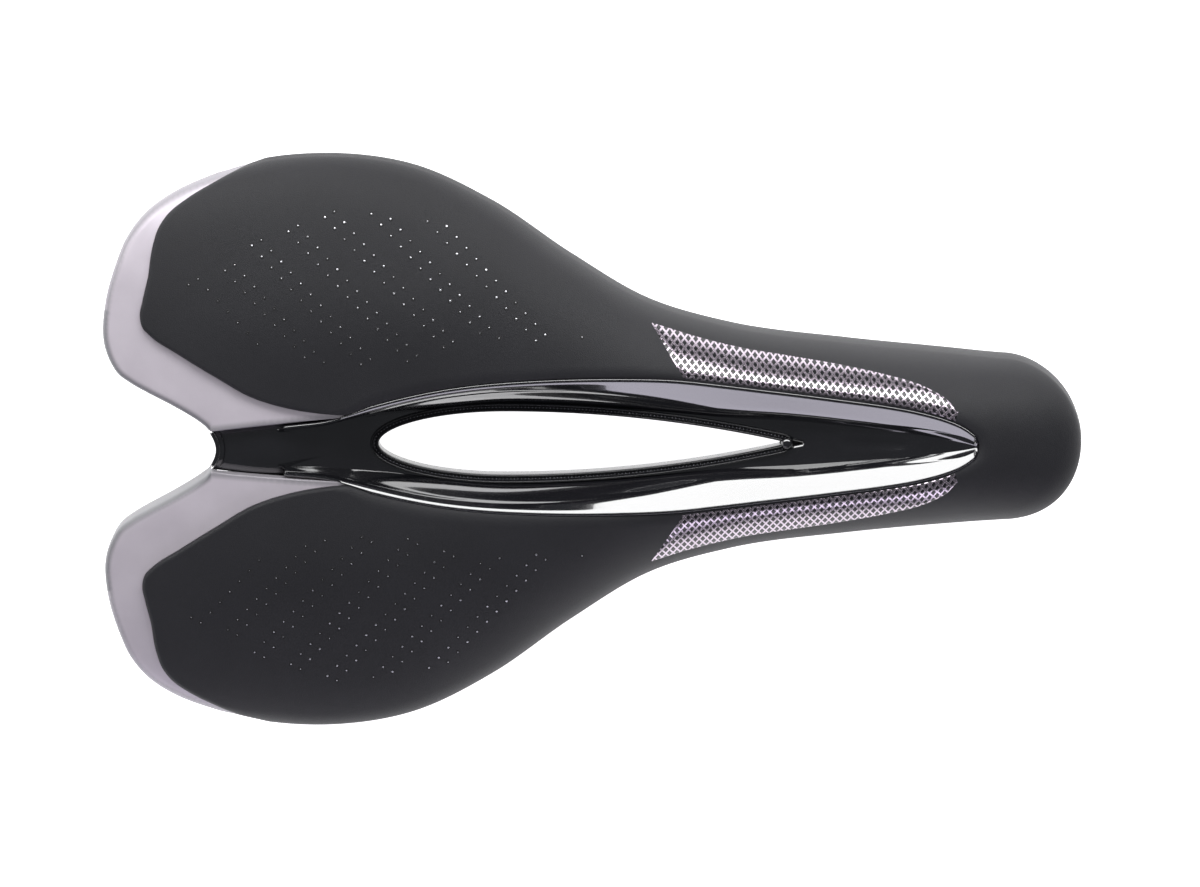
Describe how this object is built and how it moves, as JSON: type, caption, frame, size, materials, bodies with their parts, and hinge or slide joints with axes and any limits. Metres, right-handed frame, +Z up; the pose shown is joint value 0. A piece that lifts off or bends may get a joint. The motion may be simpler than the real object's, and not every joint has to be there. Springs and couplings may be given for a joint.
{
  "type": "bicycle saddle",
  "caption": "Short-nosed racing saddle with split tail, open relief channel down the middle and two round rails beneath.",
  "frame": {"origin": "middle of the clamp zone, halfway between the two rail axes and halfway along their straight lengths", "axes": "+X from the tail to the nose along the rails, +Y to the rider's left, +Z up from the rails to the pad"},
  "size_m": [0.25, 0.1476, 0.0566],
  "materials": {
    "shell_nylon": "fine grained",
    "rail_steel": "satin",
    "bush_rubber": "matt",
    "cap_nylon": "fine grained",
    "screw_steel": "black oxide",
    "insert_elastomer": "soft",
    "foam": "closed cell foam",
    "microfibre": "matt, perforated",
    "grip_film": "metallic mesh",
    "satin_paint": "satin metallic",
    "gloss_black": "high gloss",
    "rim_black": "high gloss, fine bead"
  },
  "bodies": {
    "root": {"base_shell": "shell_nylon", "rail_frame": "rail_steel", "rear_rail_bush_left": "bush_rubber", "rear_rail_bush_right": "bush_rubber", "rear_socket_cap_left": "cap_nylon", "rear_socket_cap_right": "cap_nylon", "rear_cap_screws": "screw_steel", "nose_rail_cap": "cap_nylon", "nose_cap_screws": "screw_steel", "sit_bone_insert_left": "insert_elastomer", "sit_bone_insert_right": "insert_elastomer", "foam_pad": "foam", "cover": "microfibre", "grip_panel_left": "grip_film", "grip_panel_right": "grip_film", "tail_trim_left": "satin_paint", "tail_trim_right": "satin_paint", "trim_screws": "screw_steel", "bridge_cover": "gloss_black", "channel_liner": "gloss_black", "cutout_rim": "rim_black"}
  },
  "joints": []
}
